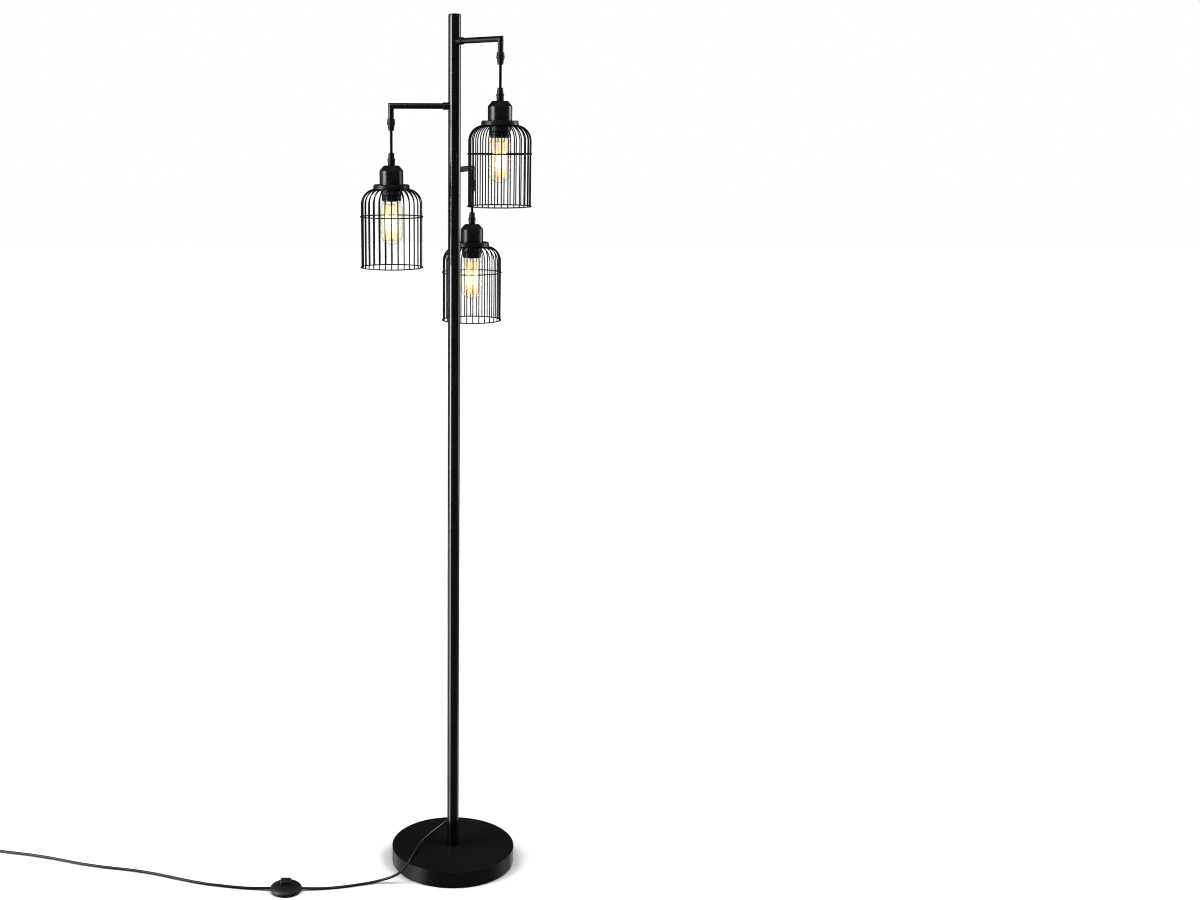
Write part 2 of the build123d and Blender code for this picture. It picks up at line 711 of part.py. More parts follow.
with BuildPart() as switch_cover:
    dome = sw_dome - sw_rim
    with BuildSketch(switch_profile()):
        with BuildLine():
            Line((0, 3.05), (sw_r - 1.0, 3.05))
            Line((sw_r - 1.0, 3.05), (sw_r, sw_rim))
            EllipticalCenterArc((0, sw_rim), sw_r, dome, start_angle=0, arc_size=90)
            Line((0, sw_dome), (0, 3.05))
        make_face()
    revolve(axis=Axis((sw_x, sw_y, 0), (0, 0, 1)))
    with BuildSketch(switch_profile()):
        with BuildLine():
            Line((0, 3.0), (sw_r - 2.8, 3.0))
            Line((sw_r - 2.8, 3.0), (sw_r - 2.0, sw_rim))
            EllipticalCenterArc((0, sw_rim), sw_r - 2.0, dome - 1.8, start_angle=0, arc_size=90)
            Line((0, sw_dome - 1.8), (0, 3.0))
        make_face()
    revolve(axis=Axis((sw_x, sw_y, 0), (0, 0, 1)), mode=Mode.SUBTRACT)
    # posts for the screws
    with BuildSketch(on_switch.offset(3.05)):
        with Locations((0, -screw_y), (0, screw_y)):
            Circle(3.4)
    extrude(amount=9.5)
    with BuildSketch(on_switch.offset(3.0)):
        with Locations((0, -screw_y), (0, screw_y)):
            Circle(1.35)
    extrude(amount=7.5, mode=Mode.SUBTRACT)
    # window for the button and the two ways in for the lead
    with BuildSketch(on_switch.offset(9)):
        RectangleRounded(23.0, 18.6, 4.0)
    extrude(amount=12, mode=Mode.SUBTRACT)
    with BuildSketch(Plane(origin=(sw_x - 45, sw_y, z_switch), z_dir=(1, 0, 0))):
        Circle(lead_r + 0.25)
    extrude(amount=90, mode=Mode.SUBTRACT)
save(switch_cover.part, "switch_cover")

with BuildPart() as switch_button:
    with BuildSketch(on_switch.offset(10.6)):
        RectangleRounded(26.0, 21.4, 4.6)
    extrude(amount=1.4)
    with BuildSketch(on_switch.offset(10.6)):
        RectangleRounded(22.2, 17.8, 3.6)
    extrude(amount=15.2)
    fillet(switch_button.edges().group_by(Axis.Z)[-1], 2.2)
    with BuildSketch(on_switch.offset(10.6)):
        Circle(6.2)
        Circle(4.2, mode=Mode.SUBTRACT)
    extrude(amount=3.0, mode=Mode.SUBTRACT)
save(switch_button.part, "switch_button")

with BuildPart() as switch_spring:
    coil_path = Helix(pitch=2.4, height=9.6, radius=5.2, center=(sw_x, sw_y, 3.5))
    with BuildSketch(Plane(origin=coil_path @ 0, z_dir=coil_path % 0)):
        Circle(0.4)
    sweep(path=coil_path, is_frenet=True)
save(switch_spring.part, "switch_spring")

with BuildPart() as switch_screws:
    for y in (-screw_y, screw_y):
        with BuildSketch(switch_profile().offset(-y)):
            Polygon((0, 0.45), (2.7, 0.45), (2.7, 1.65), (1.3, 1.65), (1.3, 9.6), (0.7, 10.2), (0, 10.2), align=None)
        revolve(axis=Axis((sw_x, sw_y + y, 0), (0, 0, 1)))
save(switch_screws.part, "switch_screws")

print("coil centre", round(coil_x, 2), round(coil_y, 2), "plug at", [round(v, 2) for v in tail[-1]])
print("tail", [tuple(round(v, 2) for v in p) for p in tail], "heading", round(ux, 4), round(uy, 4))
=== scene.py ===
import math
import random

import bmesh
import bpy
from mathutils import Matrix, Vector


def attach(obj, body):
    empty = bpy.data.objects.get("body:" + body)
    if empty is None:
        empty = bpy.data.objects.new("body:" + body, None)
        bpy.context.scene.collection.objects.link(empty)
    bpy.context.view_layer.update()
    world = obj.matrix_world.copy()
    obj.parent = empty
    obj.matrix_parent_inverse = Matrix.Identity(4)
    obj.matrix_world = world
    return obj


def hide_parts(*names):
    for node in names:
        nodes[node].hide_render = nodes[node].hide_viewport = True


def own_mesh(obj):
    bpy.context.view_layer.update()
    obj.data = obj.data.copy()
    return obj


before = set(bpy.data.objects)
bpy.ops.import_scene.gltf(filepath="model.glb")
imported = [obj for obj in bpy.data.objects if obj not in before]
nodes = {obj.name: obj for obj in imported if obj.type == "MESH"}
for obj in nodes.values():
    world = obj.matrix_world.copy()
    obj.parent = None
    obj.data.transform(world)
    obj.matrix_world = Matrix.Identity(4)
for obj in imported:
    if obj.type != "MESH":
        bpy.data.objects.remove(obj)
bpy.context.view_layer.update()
scene = bpy.context.scene
random.seed(7)

# ------------------------------------------------------------------ camera
lens = bpy.data.cameras.new("camera")
lens.sensor_fit = "HORIZONTAL"
lens.sensor_width = 36.0
lens.lens = 46.228
lens.shift_x, lens.shift_y = 0.12574, -0.0100
lens.clip_start, lens.clip_end = 0.05, 60.0
camera = bpy.data.objects.new("camera", lens)
camera.location = (-0.00978, -3.14583, 1.59207)
camera.rotation_euler = (math.radians(78.445), math.radians(-0.088), math.radians(0.018))
scene.collection.objects.link(camera)
scene.camera = camera
scene.view_settings.view_transform = "Standard"
scene.cycles.use_denoising = True
scene.cycles.denoising_input_passes = "RGB_ALBEDO_NORMAL"
scene.cycles.denoising_prefilter = "ACCURATE"
scene.cycles.filter_width = 1.1

# ------------------------------------------------------------------ where the pendants hang
ARM = 0.129
LIGHTS = {"upper": (-47.0, 1.7560), "middle": (193.0, 1.6305), "lower": (73.0, 1.5050)}


def hang(light):
    azimuth, top = LIGHTS[light]
    a = math.radians(azimuth)
    return Vector((ARM * math.cos(a), ARM * math.sin(a), top))


# ------------------------------------------------------------------ node helpers
def new_material(name):
    m = bpy.data.materials.new(name)
    m.use_nodes = True
    nt = m.node_tree
    nt.nodes.clear()
    out = nt.nodes.new("ShaderNodeOutputMaterial")
    shader = nt.nodes.new("ShaderNodeBsdfPrincipled")
    nt.links.new(shader.outputs[0], out.inputs["Surface"])
    at = nt.nodes.new("ShaderNodeTexCoord").outputs["Object"]
    return m, nt, shader, at


def stretched(nt, at, scale):
    n = nt.nodes.new("ShaderNodeMapping")
    n.inputs["Scale"].default_value = scale
    nt.links.new(at, n.inputs["Vector"])
    return n.outputs[0]


def grain(nt, at, scale, detail=3.0, rough=0.5, distortion=0.0):
    n = nt.nodes.new("ShaderNodeTexNoise")
    n.inputs["Scale"].default_value = scale
    n.inputs["Detail"].default_value = detail
    n.inputs["Roughness"].default_value = rough
    n.inputs["Distortion"].default_value = distortion
    nt.links.new(at, n.inputs["Vector"])
    return n.outputs["Fac"]


def remap(nt, value, low, high, start=0.3, end=0.7):
    n = nt.nodes.new("ShaderNodeMapRange")
    n.clamp = True
    n.inputs["From Min"].default_value = start
    n.inputs["From Max"].default_value = end
    n.inputs["To Min"].default_value = low
    n.inputs["To Max"].default_value = high
    nt.links.new(value, n.inputs["Value"])
    return n.outputs["Result"]


def math_node(nt, what, a, b):
    n = nt.nodes.new("ShaderNodeMath")
    n.operation = what
    for socket, v in zip(n.inputs, (a, b)):
        if isinstance(v, (int, float)):
            socket.default_value = v
        else:
            nt.links.new(v, socket)
    return n.outputs[0]


def ramp(nt, value, stops):
    n = nt.nodes.new("ShaderNodeValToRGB")
    while len(n.color_ramp.elements) < len(stops):
        n.color_ramp.elements.new(0.5)
    for e, (pos, colour) in zip(n.color_ramp.elements, stops):
        e.position = pos
        e.color = (*colour, 1.0)
    nt.links.new(value, n.inputs["Fac"])
    return n.outputs["Color"]


def blend_colour(nt, fac, a, b):
    n = nt.nodes.new("ShaderNodeMix")
    n.data_type = "RGBA"
    for socket, v in ((n.inputs[0], fac), (n.inputs[6], a), (n.inputs[7], b)):
        if isinstance(v, tuple):
            socket.default_value = (*v, 1.0)
        elif isinstance(v, float):
            socket.default_value = v
        else:
            nt.links.new(v, socket)
    return n.outputs[2]


def bump(nt, height, strength, distance, below=None):
    n = nt.nodes.new("ShaderNodeBump")
    n.inputs["Strength"].default_value = strength
    n.inputs["Distance"].default_value = distance
    nt.links.new(height, n.inputs["Height"])
    if below is not None:
        nt.links.new(below, n.inputs["Normal"])
    return n.outputs[0]


def edges(nt, radius, sharp=0.12):
    """Near 1 along convex and concave edges, 0 on flat and softly curved faces."""
    b = nt.nodes.new("ShaderNodeBevel")
    b.samples = 4
    b.inputs["Radius"].default_value = radius
    g = nt.nodes.new("ShaderNodeNewGeometry")
    d = nt.nodes.new("ShaderNodeVectorMath")
    d.operation = "DOT_PRODUCT"
    nt.links.new(b.outputs[0], d.inputs[0])
    nt.links.new(g.outputs["Normal"], d.inputs[1])
    return remap(nt, d.outputs["Value"], 1.0, 0.0, 1.0 - sharp, 0.995)


def coated(name, dark, light, rough, peel=1500.0, depth=0.00002, specular=0.5, wear=0.0, cool=0.0, patches=9.0, edge=0.0006):
    """Black finish: drifting tone and gloss, a fine surface texture, and rubbed edges."""
    m, nt, s, at = new_material(name)
    drift = grain(nt, at, patches, 4.0, 0.55)
    a = (dark, dark * (1 + cool * 0.4), dark * (1 + cool))
    b = (light, light * (1 + cool * 0.4), light * (1 + cool))
    colour = ramp(nt, drift, [(0.3, a), (0.7, b)])
    gloss = remap(nt, grain(nt, at, patches * 5, 3.0, 0.6), rough[0], rough[1])
    if wear:
        rub = edges(nt, edge)
        broken = math_node(nt, "MULTIPLY", rub, remap(nt, grain(nt, at, 170.0, 4.0, 0.7), 0.0, wear, 0.4, 0.75))
        colour = blend_colour(nt, broken, colour, (0.10, 0.10, 0.104))
        gloss = math_node(nt, "ADD", gloss, math_node(nt, "MULTIPLY", rub, 0.06))
    nt.links.new(colour, s.inputs["Base Color"])
    nt.links.new(gloss, s.inputs["Roughness"])
    s.inputs["Specular IOR Level"].default_value = specular
    nt.links.new(bump(nt, grain(nt, at, peel, 2.0, 0.5), 0.5, depth), s.inputs["Normal"])
    return m


def metal(name, colour, rough, brushed=(1.0, 1.0, 1.0), spots=(0.35, 0.33, 0.30)):
    """Bare or plated metal with fine lines and faint tarnish."""
    m, nt, s, at = new_material(name)
    lines = grain(nt, stretched(nt, at, brushed), 900.0, 3.0, 0.6)
    stain = remap(nt, grain(nt, at, 60.0, 5.0, 0.65), 0.0, 0.45, 0.5, 0.8)
    nt.links.new(blend_colour(nt, stain, colour, spots), s.inputs["Base Color"])
    nt.links.new(remap(nt, lines, rough[0], rough[1]), s.inputs["Roughness"])
    s.inputs["Metallic"].default_value = 1.0
    nt.links.new(bump(nt, lines, 0.35, 0.00002), s.inputs["Normal"])
    return m


def glass(name, tint, ior=1.47, clear=0.62):
    """Thin blown glass: part of the light goes straight through, the rest bends and reflects."""
    m, nt, s, at = new_material(name)
    pale = tuple(1 - (1 - c) * 0.4 for c in tint)
    streak = grain(nt, stretched(nt, at, (1, 1, 0.22)), 42.0, 2.0, 0.5)
    nt.links.new(ramp(nt, streak, [(0.35, tint), (0.7, pale)]), s.inputs["Base Color"])
    s.inputs["Roughness"].default_value = 0.0
    s.inputs["IOR"].default_value = ior
    s.inputs["Transmission Weight"].default_value = 1.0
    nt.links.new(bump(nt, streak, 0.06, 0.0001), s.inputs["Normal"])
    through = nt.nodes.new("ShaderNodeBsdfTransparent")
    slant = nt.nodes.new("ShaderNodeLayerWeight")
    slant.inputs["Blend"].default_value = 0.5
    edge = tuple(c * 0.55 for c in tint)
    nt.links.new(ramp(nt, slant.outputs["Facing"], [(0.0, pale), (0.72, pale), (1.0, edge)]), through.inputs["Color"])
    both = nt.nodes.new("ShaderNodeMixShader")
    both.inputs[0].default_value = clear
    nt.links.new(s.outputs[0], both.inputs[1])
    nt.links.new(through.outputs[0], both.inputs[2])
    out = next(n for n in nt.nodes if n.type == "OUTPUT_MATERIAL")
    nt.links.new(both.outputs[0], out.inputs["Surface"])
    return m


# ------------------------------------------------------------------ materials
paint_black = coated("satin_black_coat", 0.014, 0.020, (0.15, 0.19), peel=330.0, depth=0.000002, wear=0.5)
paint_base = coated("base_coat", 0.021, 0.028, (0.34, 0.40), peel=420.0, depth=0.00001, specular=0.19, wear=0.7, cool=0.12)
paint_arm = coated("arm_coat", 0.018, 0.026, (0.24, 0.29), peel=420.0, depth=0.000003, specular=0.34, wear=0.5)
paint_cup = coated("cup_coat", 0.026, 0.035, (0.22, 0.27), peel=520.0, depth=0.000003, specular=0.32, wear=0.4, cool=0.10)
paint_disc = coated("disc_coat", 0.019, 0.027, (0.34, 0.40), peel=520.0, depth=0.000003, specular=0.26, wear=0.4)
paint_wire = coated("wire_coat", 0.008, 0.013, (0.26, 0.34), peel=700.0, depth=0.000008, specular=0.16)
plastic_grip = coated("grip_plastic", 0.018, 0.027, (0.40, 0.48), peel=1500.0, depth=0.000012, specular=0.24, wear=0.3)
plastic_holder = coated("holder_plastic", 0.028, 0.040, (0.30, 0.38), peel=1500.0, depth=0.00001, specular=0.34, wear=0.3, cool=0.25)
plastic_switch = coated("switch_plastic", 0.030, 0.040, (0.44, 0.52), peel=1500.0, depth=0.000006, specular=0.36, wear=0.3)
plastic_plug = coated("plug_plastic", 0.024, 0.034, (0.38, 0.46), peel=1500.0, depth=0.00002, specular=0.35, wear=0.4)
# one mains lead in two shades: the part over the base is painted lighter, a painted highlight, and the part on the
# floor is painted darker, painted shade
lit_lead_jacket = coated("cord_jacket", 0.026, 0.040, (0.30, 0.38), peel=420.0, depth=0.00001, specular=0.60, patches=30.0)
shaded_floor_jacket = coated("shaded_floor_cord_jacket", 0.018, 0.028, (0.34, 0.42), peel=420.0, depth=0.00001, specular=0.30, patches=30.0)
hanging_jacket = coated("hanging_cord_jacket", 0.010, 0.017, (0.34, 0.42), peel=420.0, depth=0.00001, specular=0.20, patches=30.0)
foam = coated("foam_pad", 0.012, 0.024, (0.82, 0.95), peel=700.0, depth=0.0004, specular=0.1, patches=60.0)
iron = coated("cast_weight", 0.05, 0.10, (0.60, 0.80), peel=260.0, depth=0.0005, patches=25.0)
core = coated("twin_core", 0.30, 0.42, (0.40, 0.50), peel=500.0, depth=0.00005)
zinc = metal("zinc_steel", (0.60, 0.61, 0.64), (0.24, 0.42))
spring_steel = metal("spring_steel", (0.55, 0.55, 0.57), (0.20, 0.34))
plated = metal("plated_pin", (0.78, 0.74, 0.66), (0.14, 0.26), (1.0, 1.0, 0.2))
cap_metal = metal("bulb_cap_metal", (0.70, 0.67, 0.60), (0.20, 0.34), (1.0, 1.0, 0.3))
support_metal = metal("support_wire", (0.62, 0.55, 0.44), (0.35, 0.5))
bulb_glass = glass("bulb_glass", (1.0, 0.975, 0.91), 1.12, 0.93)
stem_glass = glass("stem_glass", (1.0, 0.96, 0.88), 1.12, 0.93)


HALF = 0.0325


def glowing(name):
    """Carbon-like filament: white hot in the middle, orange where the supports cool it."""
    m, nt, s, at = new_material(name)
    split = nt.nodes.new("ShaderNodeSeparateXYZ")
    nt.links.new(at, split.inputs[0])
    heat = nt.nodes.new("ShaderNodeMapRange")
    for key, v in (("From Min", -HALF), ("From Max", HALF), ("To Min", 0.0), ("To Max", 1.0)):
        heat.inputs[key].default_value = v
    nt.links.new(split.outputs["Z"], heat.inputs["Value"])
    colour = ramp(
        nt, heat.outputs["Result"],
        [(0.0, (1.0, 0.66, 0.28)), (0.14, (1.0, 0.69, 0.32)), (0.32, (1.0, 0.90, 0.58)), (0.60, (1.0, 0.90, 0.58)), (0.80, (1.0, 0.70, 0.33)), (1.0, (1.0, 0.68, 0.29))],
    )
    power = ramp(
        nt, heat.outputs["Result"],
        [(0.0, (0.42,) * 3), (0.14, (0.46,) * 3), (0.32, (0.95,) * 3), (0.60, (0.95,) * 3), (0.80, (0.46,) * 3), (1.0, (0.42,) * 3)],
    )
    lively = remap(nt, grain(nt, at, 160.0, 2.0), 1.5, 4.2)
    nt.links.new(colour, s.inputs["Emission Color"])
    nt.links.new(math_node(nt, "MULTIPLY", power, lively), s.inputs["Emission Strength"])
    s.inputs["Base Color"].default_value = (0.25, 0.18, 0.10, 1.0)
    s.inputs["Roughness"].default_value = 0.6
    return m


hot = glowing("filament_glow")


def finish_with(obj, material):
    """Every slot of the piece gets the material, on the piece itself."""
    if not obj.material_slots:
        obj.data.materials.append(material)
    for s in obj.material_slots:
        s.link = "OBJECT"
        s.material = material


def add_piece(name, data, body, material, at=(0, 0, 0)):
    o = bpy.data.objects.new(name, data)
    o.location = at
    scene.collection.objects.link(o)
    finish_with(o, material)
    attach(o, body)
    return o


# ------------------------------------------------------------------ mains lead
Z_BASE, Z_FLOOR, Z_SWITCH, COIL = 0.03985, 0.0029, 0.0057, 0.0036
lead_in = [
    (-0.0179, -0.0021, 0.0882), (-0.0410, -0.0022, 0.0698), (-0.0719, -0.0069, Z_BASE + 0.0043),
    (-0.0836, -0.0457, Z_BASE - 0.0003), (-0.0891, -0.0670, Z_BASE + 0.0024), (-0.0930, -0.0869, 0.0426),
    (-0.1018, -0.1048, 0.0349), (-0.1142, -0.1119, 0.0240), (-0.1303, -0.1139, 0.0165), (-0.1467, -0.1099, 0.0091),
    (-0.1685, -0.1112, Z_FLOOR + 0.0004), (-0.2023, -0.1223, Z_FLOOR), (-0.2457, -0.1346, Z_FLOOR),
    (-0.2878, -0.1414, Z_FLOOR + 0.0007), (-0.3222, -0.1428, Z_SWITCH),
]
lead_out = [
    (-0.3848, -0.1428, Z_SWITCH), (-0.4250, -0.1405, Z_FLOOR + 0.0006), (-0.4730, -0.1315, Z_FLOOR),
    (-0.5310, -0.1185, Z_FLOOR), (-0.5880, -0.0970, Z_FLOOR), (-0.6450, -0.0730, Z_FLOOR), (-0.7030, -0.0560, Z_FLOOR),
    (-0.7620, -0.0440, Z_FLOOR), (-0.8210, -0.0270, Z_FLOOR), (-0.8800, -0.0040, Z_FLOOR), (-0.9380, 0.0140, Z_FLOOR),
    (-0.9960, 0.0270, Z_FLOOR), (-1.0510, 0.0415, Z_FLOOR + 0.0004), (-1.0850, 0.0530, COIL),
]
coil_centre = Vector((-1.07516, 0.08208, 0.0))
ahead, right = Vector((-0.9473, 0.3204, 0.0)), Vector((0.3204, 0.9473, 0.0))


def step(v, start, end, low, high):
    t = min(1.0, max(0.0, (v - start) / (end - start)))
    return low + (high - low) * t * t * (3 - 2 * t)


# three turns: two on the floor, one in the groove on top of them, with a long low
# hump where the last turn passes over its own start
SIDES = 16
for k in range(1, SIDES * 3 + 1):
    turn = 360.0 * k / SIDES
    r = step(turn, 280, 350, 0.0307, 0.0254) if turn < 500 else step(turn, 600, 650, 0.0254, 0.0281)
    z = COIL + step(turn, 600, 650, 0.0, 0.0053) + step(turn, 955, 1005, 0.0, 0.0052)
    r = r / math.cos(math.pi / SIDES) if k < SIDES * 3 else r
    a = math.radians(turn)
    p = coil_centre + ahead * (r * math.sin(a)) - right * (r * math.cos(a))
    lead_out.append((p.x, p.y, z))
for u, n, z in ((0.008, -0.0281, 0.0141), (0.019, -0.0281, 0.0112), (0.029, -0.0280, 0.0075), (0.035, -0.0280, 0.0072), (0.040, -0.0280, 0.0072)):
    p = coil_centre + ahead * u + right * n
    lead_out.append((p.x, p.y, z))


def cord_curve(name, points, radius):
    data = bpy.data.curves.new(name, "CURVE")
    data.dimensions = "3D"
    s = data.splines.new("NURBS")
    s.points.add(len(points) - 1)
    for p, co in zip(s.points, points):
        p.co = (*co, 1.0)
    s.order_u = 3
    s.use_endpoint_u = True
    data.resolution_u = 10
    data.bevel_depth = radius
    data.bevel_resolution = 6
    data.use_fill_caps = True
    return data


# the switch-side lead over the base takes the lighter jacket with its painted highlight; the plug-side lead on the
# floor takes the darker jacket with its painted shade
lead_a = add_piece("lead_to_switch", cord_curve("lead_to_switch", lead_in, 0.0026), "stand", lit_lead_jacket)
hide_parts("lead_lamp_side")
lead_b = add_piece("lead_to_plug", cord_curve("lead_to_plug", lead_out, 0.0026), "stand", shaded_floor_jacket)
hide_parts("lead_plug_side", "lead_coil")

for light in LIGHTS:
    p = hang(light)

# ------------------------------------------------------------------ CAD nodes
for name, material in {
    "base_cover": paint_base, "base_weight": iron, "base_pad": foam, "base_nut": zinc, "pole_bottom": paint_black,
    "pole_middle": paint_black, "pole_upper": paint_black, "pole_connectors": zinc, "pole_cap": plastic_grip,
    "arm_collars": paint_arm, "arm_nuts": zinc, "arm_tubes": paint_arm, "inner_wiring": core, "arm_grips": plastic_grip,
    "arm_grip_nuts": plastic_grip, "lead_grommet": plastic_grip, "lead_lamp_side": lit_lead_jacket, "lead_plug_side": lit_lead_jacket,
    "lead_coil": lit_lead_jacket, "coil_tie": plastic_grip, "plug_body": plastic_plug, "plug_pins": plated,
    "switch_base": plastic_switch, "switch_cover": plastic_switch, "switch_button": plastic_switch,
    "switch_spring": spring_steel, "switch_screws": zinc,
}.items():
    finish_with(nodes[name], material)
for light in LIGHTS:
    for name, material in {
        "cord": hanging_jacket, "shade_grip": plastic_grip, "cup": paint_cup, "cage_disc": paint_disc, "cage_wires": paint_wire,
        "cage_rings": paint_wire, "shade_ring": plastic_holder, "socket": plastic_holder, "bulb_cap": cap_metal,
        "bulb_glass": bulb_glass, "bulb_filament": support_metal,
    }.items():
        finish_with(nodes[light + "_" + name], material)


# ------------------------------------------------------------------ welds on the cages
def welds(light):
    """Small uneven beads where each wire is welded to the plate and to both rings."""
    at = hang(light)
    bm = bmesh.new()
    spots = [(0.0292, 0.1682, (0.0021, 0.0014, 0.0007))]
    spots += [(0.0616, h, (0.0013, 0.0014, 0.0013)) for h in (0.2229, 0.3239)]
    for k in range(30):
        a = math.radians(-88.4 + 12.0 * k)
        for r, h, size in spots:
            jog = [1 + random.uniform(-0.22, 0.22) for _ in range(3)]
            place = (
                Matrix.Translation((r * math.cos(a), r * math.sin(a), -h + random.uniform(-0.0002, 0.0002)))
                @ Matrix.Rotation(a, 4, "Z")
                @ Matrix.Diagonal((size[0] * jog[0], size[1] * jog[1], size[2] * jog[2], 1.0))
            )
            made = bmesh.ops.create_icosphere(bm, subdivisions=2, radius=1.0, matrix=place)
            for v in made["verts"]:
                v.co += Vector([random.uniform(-1, 1) for _ in range(3)]) * 0.00007
    data = bpy.data.meshes.new(light + "_welds")
    bm.to_mesh(data)
    bm.free()
    data.shade_smooth()
    return add_piece(light + "_welds", data, light + "_shade", paint_wire, at)


# ------------------------------------------------------------------ inside the bulbs
def lathe(name, outline, sides=48):
    """Closed turned shape from (radius, height) points, from the axis and back to it."""
    bm = bmesh.new()
    rings = []
    for r, z in outline:
        if r < 1e-6:
            rings.append([bm.verts.new((0, 0, z))])
        else:
            rings.append([bm.verts.new((r * math.cos(2 * math.pi * i / sides), r * math.sin(2 * math.pi * i / sides), z)) for i in range(sides)])
    for a, b in zip(rings, rings[1:]):
        for i in range(sides):
            j = (i + 1) % sides
            if len(a) == 1:
                bm.faces.new((a[0], b[i], b[j]))
            elif len(b) == 1:
                bm.faces.new((a[i], b[0], a[j]))
            else:
                bm.faces.new((a[i], b[i], b[j], a[j]))
    bmesh.ops.recalc_face_normals(bm, faces=bm.faces)
    data = bpy.data.meshes.new(name)
    bm.to_mesh(data)
    bm.free()
    data.shade_smooth()
    return data


def wire_curve(name, runs, radius):
    """Several thin bent wires as one curve."""
    data = bpy.data.curves.new(name, "CURVE")
    data.dimensions = "3D"
    for points in runs:
        s = data.splines.new("NURBS")
        s.points.add(len(points) - 1)
        for p, co in zip(s.points, points):
            p.co = (*co, 1.0)
        s.order_u = 3
        s.use_endpoint_u = True
    data.resolution_u = 4
    data.bevel_depth = radius
    data.bevel_resolution = 2
    data.use_fill_caps = True
    return data


def around(r, degrees_, z):
    a = math.radians(degrees_)
    return (r * math.cos(a), r * math.sin(a), z)


def return_spring():
    """The switch's spring, with its end turns closed, drawn at rest on the stand; the real one is squeezed when the
    block is pressed.
    """
    at, turns, low, high = Vector((-0.3535, -0.1428, 0.0)), 5.0, 0.0035, 0.0131
    run = []
    for k in range(int(turns * 16) + 1):
        t = k / 16.0
        rise = low + 0.0006 * min(t, 1.0) + (high - low - 0.0012) * min(max(t - 1.0, 0.0) / (turns - 2.0), 1.0) + 0.0006 * max(t - turns + 1.0, 0.0)
        run.append((0.0052 * math.cos(2 * math.pi * t), 0.0052 * math.sin(2 * math.pi * t), rise))
    path = bpy.data.objects.new("spring_path", wire_curve("spring_path", [run], 0.0004))
    scene.collection.objects.link(path)
    bpy.context.view_layer.update()
    data = bpy.data.meshes.new_from_object(path.evaluated_get(bpy.context.evaluated_depsgraph_get()))
    bpy.data.objects.remove(path, do_unlink=True)
    spring = add_piece("return_spring", data, "stand", spring_steel, at)
    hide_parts("switch_spring")
    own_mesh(spring)


return_spring()


def bulb_inside(light):
    at = hang(light)
    body = light + "_bulb"
    mid = at + Vector((0, 0, -0.2345))
    half, r = HALF, 0.0126
    # one long filament, folded up and down round the mast
    strands, run = 18, []
    for k in range(strands):
        a = 12 + k * 340.0 / strands
        wob = random.uniform(-0.0005, 0.0005)
        ends = (-half, half) if k % 2 == 0 else (half, -half)
        run += [
            around(r + wob, a, ends[0] * 0.985), around(r + wob, a + 1.0, ends[0] * 0.6),
            around(r - 0.0004 + wob, a + random.uniform(-1.5, 1.5), 0.0), around(r + wob, a + 1.0, ends[1] * 0.6),
            around(r + wob, a, ends[1] * 0.985),
        ]
        if k < strands - 1:
            run.append(around(r + 0.0003, a + 170.0 / strands, ends[1] * 1.09))
    filament = add_piece(light + "_filament", wire_curve(light + "_filament", [run], 0.00046), body, hot, mid)
    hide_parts(light + "_bulb_filament")
    # mast, its two spiders and the wires that bring the current in
    low, high = -half - 0.0012, half + 0.0012
    wires = [[(0, 0, high + 0.004), (0.0003, 0, 0.0), (0, 0, low - 0.002)]]
    for k in range(strands // 2):
        a = 12 + (2 * k + 0.5) * 340.0 / strands
        wires.append([around(0.0006, a, high + 0.0012), around(0.006, a, high + 0.0022), around(r - 0.0006, a, high + 0.0004), around(r + 0.0008, a, high + 0.0006)])
        a += 340.0 / strands
        wires.append([around(0.0006, a, low - 0.0014), around(0.006, a, low - 0.0030), around(r - 0.0006, a, low - 0.0006), around(r + 0.0008, a, low - 0.0008)])
    wires.append([(0.0022, 0.0004, 0.0500), (0.0026, 0.0006, 0.0400), (0.0085, 0.0018, 0.0330), around(r, 12, -half + 0.004)][:3] + [around(r, 8, half * 0.9), around(r, 11, -half * 0.97)])
    wires.append([(-0.0022, -0.0004, 0.0500), (-0.0026, -0.0006, 0.0400), (0.0045, -0.0085, 0.0325), around(r, 336, half * 1.02)])
    supports = add_piece(light + "_supports", wire_curve(light + "_supports", wires, 0.00020), body, support_metal, mid)
    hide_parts(light + "_bulb_filament")
    stem = lathe(
        light + "_stem",
        [(0, 0.0490), (0.0050, 0.0492), (0.0072, 0.0505), (0.0075, 0.0500), (0.0056, 0.0480), (0.0042, 0.0455), (0.0034, 0.0410),
         (0.0030, 0.0370), (0.0031, 0.0345), (0.0026, 0.0325), (0.0014, 0.0310), (0, 0.0306)],
    )
    stem = add_piece(light + "_stem", stem, body, stem_glass, mid)
    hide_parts(light + "_bulb_filament")


for light in LIGHTS:
    welds(light)
    bulb_inside(light)

# ------------------------------------------------------------------ floor, world and lights
floor_mesh = bpy.data.meshes.new("floor")
floor_mesh.from_pydata([(-14, -10, 0), (14, -10, 0), (14, 18, 0), (-14, 18, 0)], [], [(0, 1, 2, 3)])
floor = bpy.data.objects.new("floor", floor_mesh)
scene.collection.objects.link(floor)
floor_material, nt, s, at = new_material("pale_floor")
nt.links.new(ramp(nt, grain(nt, at, 2.0, 3.0), [(0.3, (0.955, 0.955, 0.955)), (0.7, (0.965, 0.965, 0.965))]), s.inputs["Base Color"])
s.inputs["Roughness"].default_value = 0.9
s.inputs["Specular IOR Level"].default_value = 0.0
finish_with(floor, floor_material)
floor.visible_glossy = False

